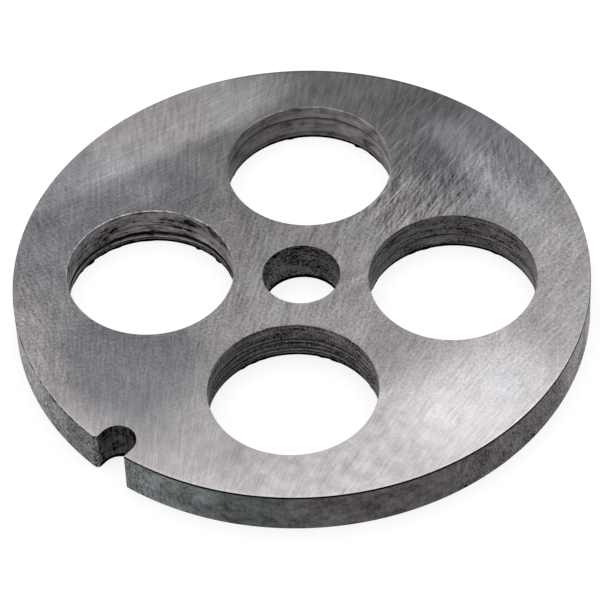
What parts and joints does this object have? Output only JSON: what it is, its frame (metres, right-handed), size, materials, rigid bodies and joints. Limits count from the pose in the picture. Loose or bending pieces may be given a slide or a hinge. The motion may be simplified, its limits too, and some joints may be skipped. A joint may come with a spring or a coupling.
{
  "type": "meat grinder plate",
  "caption": "Flat round ground steel plate with a centre bore, large round feed holes and a small locating notch in its rim.",
  "frame": {"origin": "where the centre bore's axis meets the underside", "axes": "+Z along the bore to the cutting face that the knife sweeps; the locating notch opens towards -Y"},
  "size_m": [0.062, 0.0619, 0.005],
  "materials": {
    "ground_steel": "ground, unpolished"
  },
  "bodies": {
    "root": {"grinder_plate": "ground_steel"}
  },
  "joints": []
}
